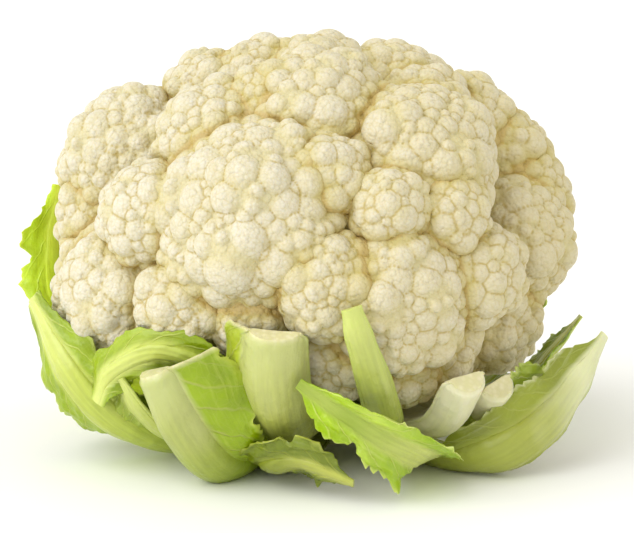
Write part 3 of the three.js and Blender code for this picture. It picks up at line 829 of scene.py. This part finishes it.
def curd_material():
    """Cream, patchy and paler on some bumps, with painted shade: duller on the head's right, and yellower in
    its creases and crevices.
    """
    made = Nodes("curd")
    patch = made.ramp(made.noise(22, 3), 0.35, 0.65)
    base = made.mix(patch, colour(CURD["cream"]), colour(CURD["dull"]))
    base = made.tint(base, CURD["white"], 0.5, "mark")
    grains = made.grains(GRAINS)
    # Painted shade: darker and yellower between the fine grains and along the crevices between the buds.
    base = made.mix(made.ramp(grains, 0.3, 0.8, 0, 0.25), base, colour(CURD["grain"]))
    base = made.mix(made.ramp(made.borders(BUDS), 0, 0.1, 0.25, 0), base, colour(CURD["border"]))
    # Painted shade: the curd turns duller and yellower towards the head's right, the side away from the main
    # light.
    shaded_right = made.ramp(made.across_head(), -0.08, 0.08, 0, 0.5)
    base = made.mix(shaded_right, base, colour(CURD["shaded_right"]))
    # Painted shade: yellower on low ground, in the creases between domes and where florets meet.
    base = made.tint(base, CURD["low"], 0.45, "low")
    base = made.tint(base, CURD["crease"], 0.75, "crease")
    base = made.tint(base, CURD["deep"], 0.55, "deep")
    # Painted shade, browner, in the deepest creases where florets meet.
    base = made.mix(made.ramp(made.mark("deep"), 0.9, 1, 0, 0.4), base, colour(CURD["deepest_crease_shade"]))
    made.link(base, made.shader.inputs["Base Color"])
    made.shader.inputs["Roughness"].default_value = 0.6
    made.shader.inputs["Specular IOR Level"].default_value = 0.35
    made.shader.inputs["Subsurface Weight"].default_value = 0.2
    made.shader.inputs["Subsurface Radius"].default_value = (1.0, 0.75, 0.4)
    made.shader.inputs["Subsurface Scale"].default_value = 0.0012
    coarse = made.bump(made.domes(made.grains(BUDS)), 0.45, 0.0012)
    fine = made.bump(made.domes(grains), 0.6, 0.0006, coarse)
    made.link(fine, made.shader.inputs["Normal"])
    return made.material


def leaf_material(name, blade, blade_inner, rib, edge, tip, foot):
    """Blade colours with paler veins and edges, and a rib with fibres along it, greener at its foot."""
    made = Nodes(name)
    fibres = made.fibres(14, 5)
    # The blade: two shades, then pale blotches and a fine net
    patch = made.ramp(made.noise(45, 4), 0.3, 0.7)
    base = made.mix(patch, colour(blade), darker(blade, 0.8))
    inner = made.mix(patch, colour(blade_inner), darker(blade_inner, 0.84))
    base = made.mix(made.mark("inner"), base, inner)
    base = made.mix(made.ramp(made.noise(28, 2), 0.56, 0.75, 0, 0.35), base, colour(rib))
    base = made.mix(made.ramp(made.borders(230), 0, 0.05, 0.14, 0), base, colour(rib))
    # Side veins that wander a little, and the pale edge
    wander = made.math("MULTIPLY", made.noise(70, 3), 0.8)
    place = made.math("FRACT", made.math("ADD", made.mark("slant"), wander))
    beside = made.math("MULTIPLY", made.math("ABSOLUTE", made.math("SUBTRACT", place, 0.5)), 2.0)
    veins = made.math(
        "MULTIPLY", made.ramp(beside, 0.84, 1), made.ramp(made.mark("edge"), 0.2, 1, 0.8, 0.2))
    veins = made.math("MULTIPLY", veins, made.ramp(made.mark("rib"), 0.2, 0.8, 1, 0))
    base = made.mix(made.ramp(fibres, 0.55, 0.75, 0, 0.25), base, colour(edge))
    base = made.mix(veins, base, colour(rib))
    base = made.mix(made.ramp(made.mark("edge"), 0.85, 1, 0, 0.5), base, colour(edge))
    # The rib, greener at its foot and paler at its tip
    pale = made.mix(made.ramp(fibres, 0.35, 0.7), colour(rib), darker(rib, 0.88))
    uneven = made.math("ADD", made.mark("along"), made.math("MULTIPLY", made.noise(30, 2), 0.6))
    pale = made.mix(made.ramp(uneven, 0.6, 1.1, foot, 0), pale, colour(blade))
    pale = made.mix(made.ramp(uneven, 0.9, 1.25, 0, 0.8), pale, colour(tip))
    base = made.mix(made.ramp(made.mark("rib"), 0.1, 0.9), base, pale)
    cut = made.mix(made.ramp(made.grains(500), 0.1, 0.6), colour(CUT_FACE), colour(CUT_GRAIN))
    base = made.mix(made.mark("cut"), base, cut)
    made.link(base, made.shader.inputs["Base Color"])
    made.shader.inputs["Roughness"].default_value = 0.3
    made.shader.inputs["Specular IOR Level"].default_value = 0.5
    made.shader.inputs["Subsurface Weight"].default_value = 0.3
    made.shader.inputs["Subsurface Radius"].default_value = (0.8, 1.0, 0.3)
    made.shader.inputs["Subsurface Scale"].default_value = 0.0015
    crumpled = made.bump(made.noise(75, 4), 0.5, 0.004)
    streaked = made.bump(fibres, 0.35, 0.0008, crumpled)
    raised = made.bump(veins, 0.5, 0.0008, streaked)
    made.link(made.bump(made.noise(260, 4), 0.4, 0.0008, raised), made.shader.inputs["Normal"])
    return made.material


def stalk_material():
    """Pale green skin, and on the cut face the ends of the bundles of fibres."""
    made = Nodes("stalk")
    bands = made.ramp(made.noise(90, 4, (1, 1, 3)), 0.35, 0.7)
    base = made.mix(bands, colour((214, 220, 165)), colour((182, 190, 118)))
    bundles = made.ramp(made.grains(420), 0.1, 0.6)
    face = made.mix(bundles, colour((226, 214, 170)), colour((205, 186, 132)))
    base = made.mix(made.mark("cut"), base, face)
    made.link(base, made.shader.inputs["Base Color"])
    made.shader.inputs["Roughness"].default_value = 0.55
    made.link(made.bump(made.noise(300, 4), 0.3, 0.0006), made.shader.inputs["Normal"])
    return made.material


# Colours of the blade, its inner face, the rib, the edges and the tip, and how green the foot is
LEAF_LOOKS = {
    "bright": ((164, 190, 20), (138, 166, 20), (200, 210, 98), (214, 222, 128), (214, 222, 128), 0.4),
    # The tall look is the leaf's own vivid green, brightened further as painted light for its glow where
    # light comes through it from behind.
    "tall": ((208, 236, 16), (198, 226, 24), (208, 230, 56), (222, 236, 88), (220, 234, 88), 0.4),
    "lime": ((172, 206, 6), (146, 178, 8), (212, 220, 120), (230, 234, 150), (130, 156, 6), 0),
    "pale": ((168, 188, 56), (160, 178, 56), (190, 200, 100), (212, 220, 136), (204, 212, 120), 0.4),
    "olive": ((154, 164, 52), (180, 200, 50), (178, 184, 86), (236, 236, 196), (242, 242, 206), 0.6),
    "low": ((122, 138, 12), (130, 144, 16), (164, 172, 64), (192, 196, 92), (192, 196, 92), 0.5),
    "petiole": ((154, 180, 2), (150, 174, 6), (174, 180, 92), (206, 214, 104), (194, 200, 132), 0.9),
    "stub": ((180, 196, 44), (180, 196, 46), (182, 188, 92), (208, 216, 126), (196, 200, 132), 0.1),
    "white": ((220, 216, 162), (220, 216, 162), (228, 224, 180), (236, 232, 200), (236, 232, 200), 0.3),
}
LOOK_OF = {
    "leaf_front_left_petiole": "petiole", "leaf_front_petiole": "stub", "leaf_front_low": "low",
    "leaf_front_right_flap": "lime", "leaf_front_sliver": "pale", "leaf_front_left_fold": "bright",
    "leaf_left_strip": "pale", "leaf_left": "bright", "leaf_left_lobe": "lime", "leaf_left_tall": "tall",
    "leaf_right_stub_front": "white", "leaf_right_stub": "white", "leaf_right": "olive",
    "leaf_right_frill": "pale", "leaf_right_thin": "bright", "leaf_back_1": "bright",
    "leaf_back_2": "white", "leaf_back_3": "low", "leaf_back_4": "white", "leaf_back_5": "bright",
}

curd_look = curd_material()
for number, floret_row in enumerate(FRONT_FLORETS + BACK_FLORETS):
    fineness = FRONT_FINENESS if number < len(FRONT_FLORETS) else BACK_FINENESS
    floret(number, floret_row, fineness, curd_look)
flesh(curd_look)
stalk(stalk_material())

looks = {}
for look, colours in LEAF_LOOKS.items():
    looks[look] = leaf_material(f"leaf_{look}", *colours)
for number, row in enumerate(BACK_LEAVES):
    LEAVES[f"leaf_back_{number + 1}"] = back_leaf(*row)
for leaf_name, leaf_row in LEAVES.items():
    leaf_mesh(leaf_name, leaf_row, looks[LOOK_OF[leaf_name]])

ground = bpy.data.meshes.new("table")
ground.from_pydata(
    [(x * TABLE_REACH, y * TABLE_REACH, 0) for x, y in ((-1, -1), (1, -1), (1, 1), (-1, 1))], [],
    [(0, 1, 2, 3)])
table = bpy.data.objects.new("table", ground)
bpy.context.scene.collection.objects.link(table)
table_look = Nodes("table")
table_look.link(table_look.mix(table_look.noise(3, 2), colour((254, 254, 253)), colour((250, 250, 248))),
                table_look.shader.inputs["Base Color"])
table_look.shader.inputs["Roughness"].default_value = 0.7
table.data.materials.append(table_look.material)


def window(name, energy, spread, light_colour, turn):
    """A soft, far light. Its spread and its turns are in degrees."""
    data = bpy.data.lights.new(name, "SUN")
    data.energy = energy
    data.angle = math.radians(spread)
    data.color = light_colour
    made = bpy.data.objects.new(name, data)
    made.rotation_euler = [math.radians(part) for part in turn]
    bpy.context.scene.collection.objects.link(made)
    return made


sun = window("window", 2.05, 65, (0.97, 0.985, 1), (50, 0, -58))
far = window("far_window", 0.35, 60, (1, 1, 1), (65, 0, 95))

world = bpy.data.worlds.new("room")
world.use_nodes = True
world.node_tree.nodes["Background"].inputs["Color"].default_value = (1, 0.985, 0.93, 1)
world.node_tree.nodes["Background"].inputs["Strength"].default_value = 0.8
bpy.context.scene.world = world
bpy.context.scene.view_settings.view_transform = "Standard"

camera_data = bpy.data.cameras.new("camera")
camera_data.sensor_width = CAMERA_SENSOR
camera_data.lens = CAMERA_LENS
camera = bpy.data.objects.new("camera", camera_data)
tilt = math.radians(CAMERA_TILT)
camera.location = (
    0, -CAMERA_DISTANCE * math.cos(tilt) * MM, (CAMERA_TARGET + CAMERA_DISTANCE * math.sin(tilt)) * MM)
camera.rotation_euler = (math.radians(90 - CAMERA_TILT), 0, 0)
bpy.context.scene.collection.objects.link(camera)
bpy.context.scene.camera = camera
